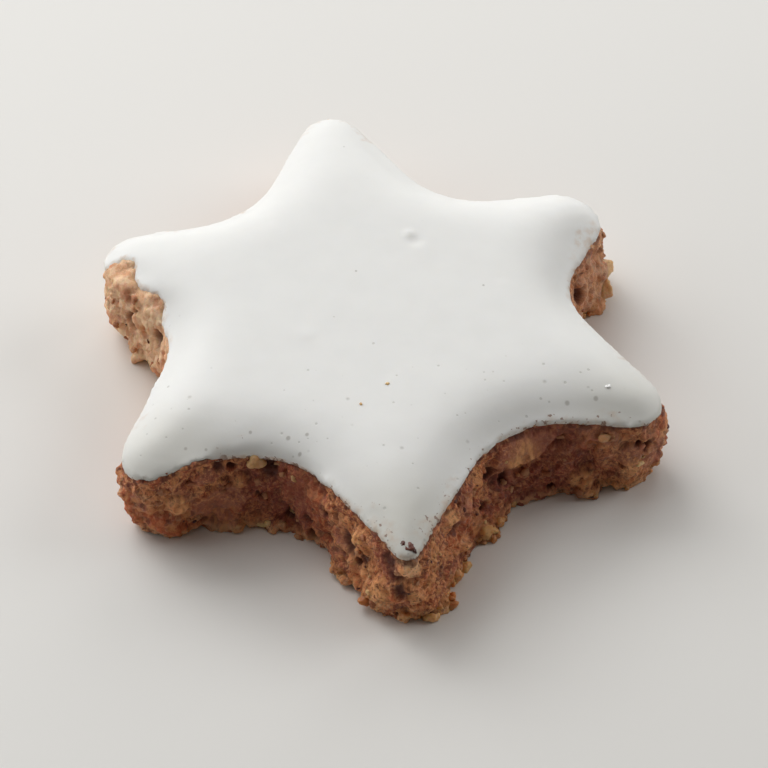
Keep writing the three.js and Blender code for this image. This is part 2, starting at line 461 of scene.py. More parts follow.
def grow(piece, tree, settings=None, **values):
    """Runs a Geometry Nodes tree on the piece, with its inputs set to what is called the same."""
    modifier = piece.modifiers.new(tree.name, "NODES")
    modifier.node_group = tree
    for item in tree.interface.items_tree:
        key = item.name.lower().replace(" ", "_")
        value = values.get(key, getattr(settings, key, None))
        if item.in_out == "INPUT" and value is not None:
            modifier[item.identifier] = value
    flatten(piece)


def smooth(piece, rounds):
    modifier = piece.modifiers.new("Smooth", "SMOOTH")
    modifier.factor = 0.5
    modifier.iterations = rounds
    flatten(piece)


def own(piece, replaced):
    """Fits a finished piece to the frame: its body, its material slot and the solid it replaces."""
    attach(piece, BODY)
    if replaced:
        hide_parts(replaced)
    for face in piece.data.polygons:
        face.use_smooth = True


# ---- The skin round the whole biscuit ----
SKIN_ROUNDS = 5  # how often the skin is smoothed
TOP_ROUNDS = 32  # how often the icing's top is smoothed on top of that
TOP_CALM = (0.8 * MM, 3 * MM)  # heights over the seam between which that sets in
SOFT_SHOULDER = Vector((-18.7, -14.0, 8.6)) * MM  # there it sets in close above the seam
TOP_LIFT = 0.4 * MM  # lifts the dough's top into the icing, so that one skin runs round both
TOP_AWAY = 3 * MM  # takes the dough's top out of reach, so that the seam is found from its walls
SAME_PLACE = 0.001 * MM  # corners this close are one


def joined_solids(name):
    """The dough and icing solids in one mesh, with the dough's top raised into the icing."""
    mesh = bpy.data.meshes.new(name)
    with editing(mesh) as solids:
        solids.from_mesh(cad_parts["dough"].data)
        icing_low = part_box("icing")[0].z
        for vertex in solids.verts:
            if vertex.co.z > icing_low - TOP_LIFT / 2:
                vertex.co.z += TOP_LIFT
        solids.from_mesh(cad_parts["icing"].data)
        bmesh.ops.remove_doubles(solids, verts=solids.verts, dist=SAME_PLACE)
    return mesh


def seam_tree():
    """Stores how far above the icing's edge the skin lies, and evens it further up than that."""
    board = GeometryBoard("Height over seam", objects=["Dough", "Icing"])
    crown = board.place().part("Z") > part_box("dough")[1].z - TOP_LIFT / 4
    lowered = board.shift(board.mesh_of("Dough"), Selection=crown, Offset=(0, 0, -TOP_AWAY))
    above = board.distance_to(lowered) - board.distance_to(board.mesh_of("Icing"))
    stored = board.keep(board.named("Geometry"), above_seam=above)
    calm = board.read("above_seam").ramp(*TOP_CALM)
    shoulder = board.near(board.place(), SOFT_SHOULDER, 5 * MM, 0.5)
    calm = (shoulder * board.read("above_seam").ramp(0.1 * MM, 0.7 * MM)).most(calm)
    evened = board.add("GeometryNodeBlurAttribute", {"data_type": "FLOAT_VECTOR"}, {
        "Value": board.place(), "Iterations": TOP_ROUNDS, "Weight": calm})
    board.add("NodeGroupOutput", inputs={"Geometry": board.shift(stored, Position=evened)})
    return board.tree


def star_skin(name, settings):
    """One closed, even-grained, smooth skin round the whole biscuit."""
    piece = new_piece(name, joined_solids(name))
    remesh = piece.modifiers.new("Remesh", "REMESH")
    remesh.mode = "VOXEL"
    remesh.voxel_size = settings.voxel
    flatten(piece)
    smooth(piece, SKIN_ROUNDS)
    grow(piece, seam_tree(), dough=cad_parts["dough"], icing=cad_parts["icing"])
    return piece


WORN_PLACES = (  # where the icing is worn back: its middle and its reach
    ((-21.4, 8.9, 8.2), 2.3),
    ((-19.6, 4.6, 8.2), 2.6),
    ((-21.6, 6.4, 8.0), 2.4),
)
SHIFTS = (  # where the icing's edge lies lower (or higher): its middle, its reach and by how much
    ((-23.8, -12.6, 7.6), 3.5, 0.7),
    ((-18.6, -15.0, 8.2), 3.6, -0.3),
    ((-18.8, -12.4, 9.3), 3.4, 0.8),
    ((23.6, -12.4, 7.6), 3.2, 0.7),
    ((-6, 18.5, 7.8), 6, 0.8),
    ((5.5, 19, 7.8), 6, 0.8),
    ((17, 14.5, 7.8), 5, 0.8),
)


def over_seam(board, place, settings):
    """Height over the seam with its waves, nicks and worn place: dough and icing share it."""
    ragged = board.bend(place, 1.4 * MM, 0.7 * MM)
    worn = 0
    for middle, reach in in_metres(WORN_PLACES):
        worn = board.near(ragged, middle, reach, 0.55).most(worn)
    shift = settings.drop - worn * settings.worn_lift
    for middle, reach, drop in in_metres(SHIFTS):
        shift = shift + board.near(place, middle, reach, 0.7) * (drop * MM)
    waves = board.swing(place, settings.wave_span) * settings.wave_swing
    nicks = board.swing(place, settings.nick_span, 3) * settings.nick_swing
    return board.read("above_seam") + shift + waves + nicks


# ---- The dough ----
SHOWN_BELOW = 0.5 * MM  # height over the seam up to which the walls are made finer
STEEP = math.cos(math.radians(45))  # faces whose normals rise or sink less than this are wall


def refine_walls(piece, below):
    """Halves the faces of the skin that show below the icing, so that they can carry crumb."""
    with editing(piece.data) as work:
        above = work.verts.layers.float["above_seam"]
        faces = [face for face in work.faces
                 if abs(face.normal.z) < STEEP and face.verts[0][above] < below]
        edges = {edge for face in faces for edge in face.edges}
        bmesh.ops.subdivide_edges(work, edges=list(edges), cuts=1, use_grid_fill=True)


PRESSED = (  # flakes that the cutter pressed smooth: middle, reach and how far they stand out
    ((10.4, -15.0, 6.4), 2.2, 0.5),
    ((-20.1, 4.9, 6.6), 1.1, 0.35),
    ((-15.4, -14.4, 3.6), 1.9, 0.25),
    ((-16.4, -14.5, 6.6), 1.1, 0.2),
    ((17.2, -15.2, 6.4), 1.1, 0.3),
    ((19.6, -15.2, 4.6), 1.3, 0.3),
)
FLAKE_SHAPE = Vector((0.75, 0.75, 1.4))  # such flakes are wider than high
HOLLOWS = (  # the deepest holes: their middle, reach and depth
    ((-7.5, -17.6, 1.2), 1.0, 1.2),
    ((-7.9, -17.4, 3.3), 0.6, 0.8),
    ((-9.3, -15.8, 2.4), 0.6, 0.8),
    ((-6.6, -19.1, 5.6), 0.5, 0.7),
    ((-15.5, -14.3, 7.3), 0.7, 0.6),
    ((-14.2, -14.2, 7.1), 0.5, 0.5),
    ((-12.0, -14.7, 3.9), 0.55, 0.6),
    ((-11.1, -14.7, 6.6), 1.2, 0.4),
    ((-9.5, -15.7, 1.8), 0.6, 0.7),
    ((-5.1, -21.9, 4.4), 1.3, 0.35),
    ((-4.0, -23.7, 4.4), 0.8, 0.45),
    ((-2.3, -26.4, 7.0), 1.1, 0.5),
    ((-1.9, -27.1, 5.8), 1.1, 0.5),
    ((-1.6, -27.8, 4.2), 1.0, 0.45),
    ((7.4, -16.7, 5.3), 0.7, 0.7),
    ((6.7, -17.9, 3.0), 0.6, 0.5),
    ((3.8, -21.9, 4.8), 0.8, 0.9),
    ((8.9, -15.8, 3.8), 0.7, 0.6),
    ((13.4, -14.8, 1.4), 0.45, 0.5),
    ((20.9, -15.1, 6.2), 0.45, 0.6),
    ((19.3, 4.5, 4.9), 0.9, 0.8),
    ((-21.2, 5.8, 5.5), 1.15, 1.0),
    ((-19.0, 2.4, 6.3), 1.2, 1.0),
)
TORN_TIP = Vector((-1.0, -26.5, 4.5)) * MM  # the front arm is torn all round
LUMPS = (  # rough, paler lumps: their middle, reach and how far they stand out
    ((-0.8, -27.8, 6.8), 1.2, 0.4),
    ((-0.3, -28.2, 3.6), 1.2, 0.45),
    ((-0.3, -28.4, 1.4), 1.3, 0.45),
    ((-2.9, -26.3, 3.4), 1.5, 0.55),
    ((-3.6, -25.6, 1.5), 1.8, 0.45),
    ((-4.6, -23.2, 6.2), 1.0, 0.35),
    ((3.5, -22.8, 6.8), 1.6, 0.35),
    ((1.9, -25.4, 5.6), 1.2, 0.4),
    ((4.6, -21.5, 2.2), 1.3, 0.45),
    ((6.6, -18.6, 6.2), 1.3, 0.4),
    ((10.6, -15.0, 5.8), 2.2, 0.1),
    ((-13.6, -14.6, 5.4), 1.0, 0.2),
    ((-18.9, -15.6, 4.6), 1.5, 0.3),
    ((16.0, -15.2, 2.0), 1.5, 0.4),
    ((20.2, -15.4, 3.2), 1.6, 0.4),
)
SHADED_WALLS = (  # stretches of wall with painted shade, in the notches and on the front arm's shaded side: their middle, reach and how much so
    ((12.5, -15.0, 3.8), 7.5, 0.74),
    ((-10.5, -15.2, 4.6), 6, 0.76),
    ((-2.6, -26.0, 6.3), 2.1, 0.8),
    ((22.5, -14.4, 3.4), 2.8, 0.42),
)
LIT_EDGES = (  # thin edges that light shines through: their middle and reach
    ((-25.0, -12.8, 3.8), 3.0),
    ((24.6, -13.4, 4.6), 2.6),
    ((-0.9, -27.7, 7.2), 2.3),
    ((-0.2, -28.8, 1.0), 2.4),
    ((-3.6, -26.6, 1.6), 1.8),
)
LIT_PALE_FLANKS = (  # flanks with painted light where they face the lamps, partly a paler tone: their middle, reach and how much so
    ((-20.5, 5.5, 4), 12, 1.1),
    ((21.5, 6.5, 4), 8, 0.45),
    ((21.5, -15, 4), 5.5, 0.05),
)
PALE_PATCHES = (  # paler stretches at the front: their middle, reach and how much so
    ((-4.4, -23.4, 4.6), 3.4, 0.32),
    ((0.5, -27.0, 5.0), 4.5, 0.12),
    ((20.8, -15.0, 0.8), 2.4, 0.12),
    ((19.5, -15.2, 6.2), 4.0, 0.12),
)


def crumb_tree(star, material):
    """Breaks the skin up into pressed nut crumbs, and sinks it under the icing."""
    sizes = ("Plateau", "Crumb", "Grain", "Depth", "Pit Spacing", "Pit Depth", "Foot Height")
    board = GeometryBoard("Nut crumb", sizes)
    plateau, crumb, grain, depth, pit_spacing, pit_depth, foot_height = map(board.named, sizes)
    place = board.place()
    bent = board.bend(place, 1.6 * MM, 0.6 * MM)
    torn_place = board.bend(bent, 0.6 * MM, 0.45 * MM)
    shards = board.bend(bent, 2.0 * MM, 2.4 * MM) * FLAKE_SHAPE
    above = over_seam(board, place, star)
    height = place.part("Z")
    foot = height.ramp(0.2 * MM, foot_height, 1, 0)
    torn = board.noise(place, 4.5 * MM).ramp(0.4, 0.58)  # 0 where the cutter smeared the wall
    torn = board.near(place, TORN_TIP, 8 * MM, 0.6).most(torn)

    big = board.cells(bent, plateau, 0.25)
    middle = board.cells(bent, crumb, 0.2)
    small = board.cells(bent, grain, 0.15)
    terrace = board.noise(bent, 2.3 * MM, 3).ramp(0.46, 0.54)
    ledge = board.noise(bent * Vector((0.3, 0.3, 1)), 0.9 * MM, 2).ramp(0.44, 0.54)
    relief = (0.5 - big) * depth * 1.3 + terrace * depth * 0.8 + ledge * depth * 0.5
    relief = relief + (0.4 - middle) * depth * (0.55 + torn * 0.75)
    relief = relief + (0.4 - small) * depth * (0.45 + torn * 0.6)

    calm = 0
    for centre, reach, lift in in_metres(PRESSED):
        pressed = board.near(shards, centre * FLAKE_SHAPE, reach, 0.14)
        relief = relief * (1 - pressed * 0.55) + pressed * (lift * MM)
        calm = pressed.most(calm)
    pits = board.cells(torn_place, pit_spacing)
    radius = pits.out("Color").part("Y").ramp(0.45, 1.0, 0, 0.24)
    hollow = (pits - radius).ramp(-0.05, 0.02, 1, 0) * (1 - calm)
    relief = relief - hollow * pit_depth
    for centre, reach, drop in in_metres(HOLLOWS):
        hole = board.near(torn_place, centre, reach, 0.6)
        relief = relief - hole * (drop * MM)
        hollow = hole.most(hollow)
    relief = relief + foot * ((0.5 - big) * 2 + (0.4 - middle) * 0.8) * depth
    raised = 0
    for centre, reach, lift in in_metres(LUMPS):
        lump = board.near(torn_place, centre, reach, 0.7)
        relief = relief + lump * (lift * MM)
        raised = lump.most(raised)
    near_seam = above.ramp(-1.4 * MM, -0.2 * MM)
    relief = relief * (1 - near_seam * 0.35) - near_seam * 0.06 * MM

    # Nothing sticks out underneath or below the icing's edge at the back: there are only pits.
    underside = board.normal().part("Z").ramp(-0.85, -0.5, 1, 0)
    tucked = board.normal().part("Y").ramp(0.05, 0.25) * above.ramp(-3.5 * MM, -1.5 * MM)
    level = underside.most(tucked)
    relief = relief.least(0) * level + relief * (1 - level)
    covered = above.ramp(-0.1 * MM, 0.6 * MM)
    sunk = above.most(0).least(1.4 * MM) + 0.1 * MM
    relief = relief * (1 - covered * 0.9) - covered * sunk

    grains = tuple(cell.out("Color").part("X") for cell in (big, middle, small))
    stored = board.keep(board.named("Geometry"), relief=relief, over_edge=above, raised=raised,
                        grains=grains, marks=(torn, hollow, calm), first_place=place)
    moved = board.shift(stored, Offset=board.normal() * board.read("relief"))
    return board.finish(board.rest(moved), material)


def dough_material(colours):
    """Baked nut dough: red-brown crumb, smeared smooth in places, with dark gaps."""
    board = ShaderBoard("dough_crumb")
    place = board.read("first_place", "Vector")
    relief = board.read("relief")
    big, middle, small = (board.read("grains", "Vector").part(axis) for axis in "XYZ")
    torn, hollow, calm = (board.read("marks", "Vector").part(axis) for axis in "XYZ")

    cloud = board.noise(place, 2.4 * MM, 4, 0.6)
    grit = board.cells(board.bend(place, 0.5 * MM, 0.1 * MM), 0.24 * MM).out("Color").part("Z")
    speckle = board.noise(place, 0.32 * MM, 4, 0.75) * 0.88 + grit * 0.12
    streak = board.noise(place * Vector((1, 1, 0.3)), 0.5 * MM, 3)
    wall_shade = board.strongest(place, SHADED_WALLS, 0.6)
    tone = board.paint(
        dimmed(colours.mid, 0.68),
        (cloud.ramp(0.38, 0.62), colours.mid),
        (big.ramp(0.4, 0.55) * (1 - torn * 0.6) * 0.85, colours.film),
        (streak.ramp(0.5, 0.7) * 0.35, colours.tan),
        (middle.ramp(0.6, 0.7) * 0.6, colours.tan),
        (middle.ramp(0.3, 0.15) * 0.3, colours.deep),
        (small.ramp(0.3, 0.2) * 0.5, colours.skin),
        (small.ramp(0.72, 0.82) * 0.5, colours.tan),
        # painted shade on the notch walls and the front arm's shaded side
        (wall_shade, colours.moist),
        *((board.near(place, centre, reach, 0.6) * share, colours.lump)
          for centre, reach, share in in_metres(PALE_PATCHES)),
        (calm * 0.6, colours.film),
        (board.read("raised") * streak.ramp(0.4, 0.6, 0.35, 0.92), colours.lump),
    )
    # painted light on the flanks and the back half that face the lamps, partly a paler tone;
    # painted shade and dark speckle are weaker there
    pale_and_lit = board.strongest(place, LIT_PALE_FLANKS, 0.5, place.part("Y").ramp(-10 * MM, 6 * MM) * 0.45)
    pale_lit_tone = board.paint(
        colours.pale_and_lit,
        (cloud.ramp(0.4, 0.55, 0.42, 0), colours.tan),
        (streak.ramp(0.52, 0.6) * 0.42, colours.tan),
        (board.noise(place, 1.5 * MM, 3).ramp(0.54, 0.64) * 0.45, colours.mid),
    )
    height = place.part("Z")
    # amber band at the foot: partly amber tone, partly painted glow of light through the thin foot
    amber_foot = height.ramp(0.3 * MM, 2.0 * MM, 1, 0) * board.noise(place, 3.4 * MM).ramp(0.42, 0.6)
    patches = board.noise(place, 0.9 * MM, 3).ramp(0.4, 0.56, 0.1, 0.9)
    lit = height.ramp(0.5 * MM, 1.1 * MM, 1, 0) * small.ramp(0.3, 0.5) * 0.5
    for centre, reach in in_metres(LIT_EDGES):
        lit = (board.near(place, centre, reach, 0.9) * patches).most(lit)
    grainy = 0.32 + torn * 0.53
    # paler grains, partly painted highlights on the crumb, fewer in the painted shade
    pale_grains_and_glints = speckle.ramp(0.5, 0.62) * 0.75 * grainy * (1 - pale_and_lit.least(1)) * (1 - wall_shade * 0.6)
    dark = speckle.ramp(0.47, 0.37) * (0.8 - pale_and_lit * 0.4) * (1 - calm * 0.4) * grainy
    edge = board.read("over_edge")
    # painted shadow on the dough just under the icing's edge, in patches
    under_edge_shade = edge.ramp(-0.45 * MM, -0.1 * MM) * board.noise(place, 0.9 * MM).ramp(0.45, 0.55)
    tone = board.paint(
        tone,
        (pale_and_lit.least(1) * 0.92, pale_lit_tone),
        (amber_foot * 0.8, colours.amber),
        (lit, colours.lit),
        (pale_grains_and_glints, colours.lump),
        (dark, colours.deep),
        # painted shade: darker in the recesses of the relief and in the holes
        (relief.ramp(0, -0.3 * MM) * (0.55 - pale_and_lit * 0.38), colours.deep),
        (hollow * 0.93, colours.deep),
        (under_edge_shade * (0.7 - pale_and_lit * 0.5), colours.deep),
    )

    moist = board.noise(place, 0.45 * MM).ramp(0.56, 0.64)
    bump = board.bump(board.noise(place, 0.2 * MM, 3, 0.7), 0.11 * MM)
    return board.finish(
        base_color=tone,
        roughness=0.74 - moist * 0.4,
        normal=bump,
        subsurface_weight=0.25,
        subsurface_radius=(1.0, 0.3, 0.12),
        subsurface_scale=1.0 * MM,
    )


class STAR_OT_dough(bpy.types.Operator):
    """Make the dough's torn crumb"""

    bl_idname = "star.make_dough"
    bl_label = "Dough"

    def execute(self, context):
        star = context.scene.star_skin
        dough = context.scene.star_dough
        piece = star_skin("dough_crumb", star)
        refine_walls(piece, SHOWN_BELOW)
        grow(piece, crumb_tree(star, dough_material(dough)), dough)
        own(piece, "dough")
        return {"FINISHED"}


# ---- The icing ----
DENTS = (  # dents (and bumps) in the icing: their middle, reach and height
    ((4.7, 7.4, 10.5), 1.0, -0.12),
    ((4.2, 8.4, 10.5), 0.7, 0.16),
    ((11.5, 1.0, 10.4), 0.7, 0.05),
    ((-6.4, -3.0, 10.5), 1.1, 0.04),
)
FROM_ABOVE = Vector((1, 1, 0))  # their height doesn't count


def glaze_tree(star, material):
    """Keeps the skin above the seam as icing, with an edge that tapers away into the dough."""
    board = GeometryBoard("Sugar icing", ("Skirt", "Thinning", "Thickness", "Lip"))
    place = board.place()
    above = over_seam(board, place, star)
    thinning = board.named("Thinning")
    taper = above.ramp(-0.6 * thinning, 0.5 * thinning, 0.4 * MM, 0)
    buried = above.ramp(-1.5 * thinning, -0.6 * thinning, 0.9 * MM, 0)
    drift = board.swing(place, 9 * MM) * (0.05 * MM) + board.swing(place, 2.2 * MM) * (0.018 * MM)
    lip = above.ramp(-0.2 * MM, 0.3 * MM) * above.ramp(0.3 * MM, 1.0 * MM, 1, 0)
    drift = drift + lip * board.named("Lip")
    for centre, reach, height in in_metres(DENTS):
        dent = board.near(place * FROM_ABOVE, centre * FROM_ABOVE, reach, 1)
        drift = drift + dent * (height * MM)
    thick = above.most(0.15 * MM).least(board.named("Thickness")) / board.named("Thickness")
    stored = board.keep(board.named("Geometry"), offset=drift - taper - buried, over_edge=above,
                        thick=thick, front=board.normal().part("Y").ramp(-0.05, -0.3))
    gone = board.add("FunctionNodeCompare", {"operation": "LESS_THAN"},
                     {"A": board.read("over_edge"), "B": -board.named("Skirt")})
    kept = board.add("GeometryNodeDeleteGeometry", {"domain": "FACE"},
                     {"Geometry": stored, "Selection": gone})
    moved = board.shift(kept, Offset=board.normal() * board.read("offset"))
    return board.finish(moved, material)


def thicken(piece, depth):
    """Gives the icing's outer skin its underside, as deep as its "thick" attribute says."""
    with editing(piece.data) as work:
        work.normal_update()
        thick = work.verts.layers.float["thick"]
        outer = list(work.verts)
        faces = list(work.faces)
        rim = [loop for face in faces for loop in face.loops if loop.edge.is_boundary]
        ends = [(loop.vert, loop.link_loop_next.vert) for loop in rim]
        inner = {vertex: work.verts.new(vertex.co - vertex.normal * depth * vertex[thick], vertex)
                 for vertex in outer}
        for face in faces:
            work.faces.new([inner[vertex] for vertex in reversed(face.verts)])
        for first, second in ends:
            work.faces.new([second, first, inner[first], inner[second]])


def cover_tree(material):
    """Stores how thickly the icing covers the dough below it."""
    board = GeometryBoard("Icing cover", objects=["Dough"])
    cover = board.distance_to(board.mesh_of("Dough"))
    return board.finish(board.keep(board.named("Geometry"), cover=cover), material)


THIN_SHADED_ARMS = (  # the three front arms, where the icing is greyer, partly thinner and partly painted shade: their middle, their reach and by how much
    ((-0.9, -26.5, 9), 10, 0.75),
    ((22.0, -14.5, 9), 10, 0.55),
    ((-20.5, -14.5, 9), 9, 0.6),
)
SMEARED_EDGES = (  # where the icing's edge thins away more: its middle, its reach and by how much
    ((0, -23.5, 8.6), 9, 0.1),
    ((-11.0, -14.3, 8.2), 6.5, 0.5),
)
AIR_HOLES = (  # burst bubbles in the icing: their middle and reach
    ((14.9, -12.9, 9.3), 0.28),
    ((17.4, -12.8, 9.4), 0.28),
    ((-9.3, -14.0, 9.6), 0.26),
    ((-7.7, -14.1, 10.0), 0.22),
    ((-12.4, -12.9, 9.6), 0.2),
    ((-8.5, -15.5, 9.2), 0.22),
    ((-18.0, -13.5, 8.9), 0.2),
    ((-16.3, -13.8, 9.1), 0.18),
    ((-1.1, 4.3, 10.6), 0.15),
    ((9.8, 1.0, 10.6), 0.15),
)
UPRIGHT = Vector((1, 1, 0.3))  # such a hole is deeper than wide
PORES = (  # pinholes: their spacing, how wide in cells, and the share of cells that have one
    (0.75, 0.2, 0.9),
    (1.9, 0.1, 0.45),
)


def icing_material(colours):
    """Dried sugar icing: smooth satin white, stained where it is thin, with tiny air holes."""
    board = ShaderBoard("sugar_icing")
    place = board.place()
    cover = board.read("cover")
    edge = board.read("over_edge")

    patchy = board.noise(place, 0.7 * MM, 3).ramp(0.3, 0.72)
    spared = 1 - board.near(place, SOFT_SHOULDER, 4.5 * MM, 0.4)
    facing = board.read("front") * place.part("Y").ramp(6 * MM, 0)
    brink = edge
    for centre, reach, smeared in in_metres(SMEARED_EDGES):
        brink = brink - board.near(place, centre, reach, 0.6) * (smeared * MM)
    rim = edge.ramp(0.05 * MM, 0.3 * MM, 1, 0) * (facing * 0.9 + 0.1)
    thin = cover.ramp(0.06 * MM, 0.26 * MM, 1, 0).most(brink.ramp(0.3 * MM, 0.75 * MM, 1, 0))
    ragged = board.noise(place, 0.45 * MM, 3) - brink * (0.32 / MM)

    front = place.part("Y").ramp(-1 * MM, -9 * MM)
    airy = board.noise(place, 4 * MM).ramp(0.42, 0.6, 0.4, 1)
    near_edge = edge.ramp(1.4 * MM, 3.2 * MM, 1, 0.06) * airy * (0.03 + front * 0.97)
    holes = 0
    for spacing, widest, share in PORES:
        pores = board.cells(place, spacing * MM)
        radius = pores.out("Color").part("X").ramp(1 - near_edge * share, 1, -0.05, widest)
        holes = (pores - radius).ramp(-0.08, 0.05, 1, 0).most(holes)
    tone = board.paint(
        colours.white,
        (board.noise(place, 2.5 * MM, 3).ramp(0.3, 0.7) * 0.5, dimmed(colours.white, 0.965)),
        (board.strongest(place, THIN_SHADED_ARMS, 0.8), colours.grey),
        ((thin * patchy * spared * 0.65).most(rim * 0.8), colours.stain),
        (ragged.ramp(0.44, 0.5) * (facing * spared) * 0.8, colours.nick),
        (holes * 0.42, colours.pinhole),
        *((board.near(place * UPRIGHT, centre * UPRIGHT, reach, 0.6) * 0.65, colours.pinhole)
          for centre, reach in in_metres(AIR_HOLES)),
    )

    satin = board.noise(place, 1.8 * MM, 2)
    height = board.noise(place, 0.35 * MM, 3) * 0.12 + satin * 0.4 - holes * 0.6
    return board.finish(
        base_color=tone,
        roughness=0.46 + satin * 0.12,
        normal=board.bump(height, 0.03 * MM),
        subsurface_weight=0.15,
        subsurface_radius=(1.0, 0.9, 0.75),
        subsurface_scale=0.7 * MM,
    )


class STAR_OT_icing(bpy.types.Operator):
    """Make the icing's smooth shell"""

    bl_idname = "star.make_icing"
    bl_label = "Icing"

    def execute(self, context):
        star = context.scene.star_skin
        icing = context.scene.star_icing
        material = icing_material(icing)
        piece = star_skin("sugar_icing", star)
        grow(piece, glaze_tree(star, material), icing)
        thicken(piece, icing.thickness)
        grow(piece, cover_tree(material), dough=bpy.data.objects["dough_crumb"])
        own(piece, "icing")
        return {"FINISHED"}


# ---- Loose bits ----
GRAIN_RINGS = 2  # subdivisions of the ball that a scattered bit starts as
BIT_RINGS = 3  # and of the ball for a bit placed by itself
BIT_SHADES = 3  # bits placed by themselves take these in turn
PER_SQUARE_CENTIMETRE = 10000  # so many of them on a square metre
SLIM, LONG, WIDE = 0.55, 1.25, 0.95  # least size of a bit, and its greatest length and width
TILT = 0.7  # how far bits lean, in radians


def lumpy(board, geometry, size):
    """Turns smooth balls into uneven, slightly angular bits."""
    place = board.place()
    swing = board.swing(place, size * 0.4) + (board.cells(place, size * 0.6) - 0.5)
    return board.shift(geometry, Offset=board.normal() * swing * size * 0.32)


def scatter_tree(name, zone, flatness, material):
    """Scatters bits over the host where the zone allows, each with its own size, turn and shade."""
    board = GeometryBoard(name, ("Size",), ("Density",), ("Seed",), ("Host",))
    size, seed = board.named("Size"), board.named("Seed")
    points = board.add("GeometryNodeDistributePointsOnFaces", {"distribute_method": "RANDOM"}, {
        "Mesh": board.mesh_of("Host"), "Selection": zone(board), "Seed": seed,
        "Density": board.named("Density") * PER_SQUARE_CENTIMETRE}, out="Points")
    ball = board.add("GeometryNodeMeshIcoSphere", inputs={
        "Radius": size * 0.5, "Subdivisions": GRAIN_RINGS})
    stretch = board.random((SLIM, SLIM, SLIM * flatness), (LONG, WIDE, WIDE * flatness), seed,
                           "FLOAT_VECTOR")
    spread = board.random(0, 1, seed + 1)
    turn = board.random((-TILT, -TILT, -math.pi), (TILT, TILT, math.pi), seed + 2, "FLOAT_VECTOR")
    turned = board.add("FunctionNodeRotateRotation", {"rotation_space": "LOCAL"}, {
        "Rotation": points.out("Rotation"), "Rotate By": turn})
    placed = board.add("GeometryNodeInstanceOnPoints", inputs={
        "Points": points, "Instance": ball, "Rotation": turned,
        "Scale": stretch * (0.6 + spread * spread * 0.9)})
    shaded = board.store(placed, "shade", board.random(0, 1, seed + 3), domain="INSTANCE")
    real = board.add("GeometryNodeRealizeInstances", inputs={"Geometry": shaded})
    return board.finish(board.rest(lumpy(board, real, size)), material)


def bit_material(name, bits, gloss, glow):
    """Bits between two colours, each its own; glow is how much light passes through them."""
    board = ShaderBoard(name)
    speckle = board.noise(board.place(), 0.25 * MM, 3)
    tone = board.paint(
        bits.first,
        (board.read("shade"), bits.second),
        (speckle.ramp(0.5, 0.3) * 0.35, dimmed(bits.second, 0.6)),
    )
    return board.finish(
        base_color=tone,
        roughness=gloss,
        normal=board.bump(speckle, 0.08 * MM),
        subsurface_weight=glow,
        subsurface_radius=(1.0, 0.5, 0.2),
        subsurface_scale=0.8 * MM,
    )


def bare_dough(board):
    """Where the dough shows below the icing; at the back and sides, only well below it."""
    hidden = board.normal().part("Y").ramp(-0.2, 0.1, 0, 2.5 * MM)
    shown = (board.read("over_edge") + hidden).ramp(-0.4 * MM, -0.6 * MM)
    facing = board.normal().part("Z").ramp(-0.6, -0.5)
    return (shown * facing) > 0.5


def foot_of_dough(board):
    """The lowest part of the wall, in patches."""
    place = board.place()
    low = place.part("Z").ramp(0.9 * MM, 1.0 * MM, 1, 0) * place.part("Z").ramp(0, 0.2 * MM)
    patch = board.noise(place, 3.4 * MM).ramp(0.47, 0.5)
    return (low * patch) > 0.5


def rim_of_icing(board):
    """A narrow band along the icing's edge, at the front."""
    edge = board.read("over_edge")
    front = board.normal().part("Y").ramp(-0.25, -0.35)
    return (edge.ramp(-0.1 * MM, 0) * edge.ramp(0.25 * MM, 0.3 * MM, 1, 0) * front) > 0.5


def scatter(name, bits, host, seed, zone, flatness, gloss, glow):
    """Makes one piece out of all the bits of one kind."""
    material = bit_material(name, bits, gloss, glow)
    piece = new_piece(name, bpy.data.meshes.new(name))
    grow(piece, scatter_tree(name, zone, flatness, material), bits, seed=seed,
         host=bpy.data.objects[host])
    own(piece, None)


SCATTERS = {  # settings, host, seed, zone, flatness, gloss and glow of each scattered piece
    "nut_chips": ("star_nut", "dough_crumb", 11, bare_dough, 0.6, 0.6, 0.2),
    "almond_chips": ("star_almond", "dough_crumb", 23, bare_dough, 0.45, 0.5, 0.3),
    "skin_flecks": ("star_skin_fleck", "dough_crumb", 37, bare_dough, 0.3, 0.45, 0.0),
    "foot_crumbs": ("star_foot", "dough_crumb", 41, foot_of_dough, 0.9, 0.4, 0.5),
    "edge_crumbs": ("star_edge", "sugar_icing", 59, rim_of_icing, 0.6, 0.6, 0.2),
}


class STAR_OT_crumbs(bpy.types.Operator):
    """Scatter chips, dark skins and crumbs over the dough and along the icing's edge"""

    bl_idname = "star.scatter_crumbs"
    bl_label = "Nut crumbs"

    def execute(self, context):
        for name, (settings, *rest) in SCATTERS.items():
            scatter(name, getattr(context.scene, settings), *rest)
        return {"FINISHED"}


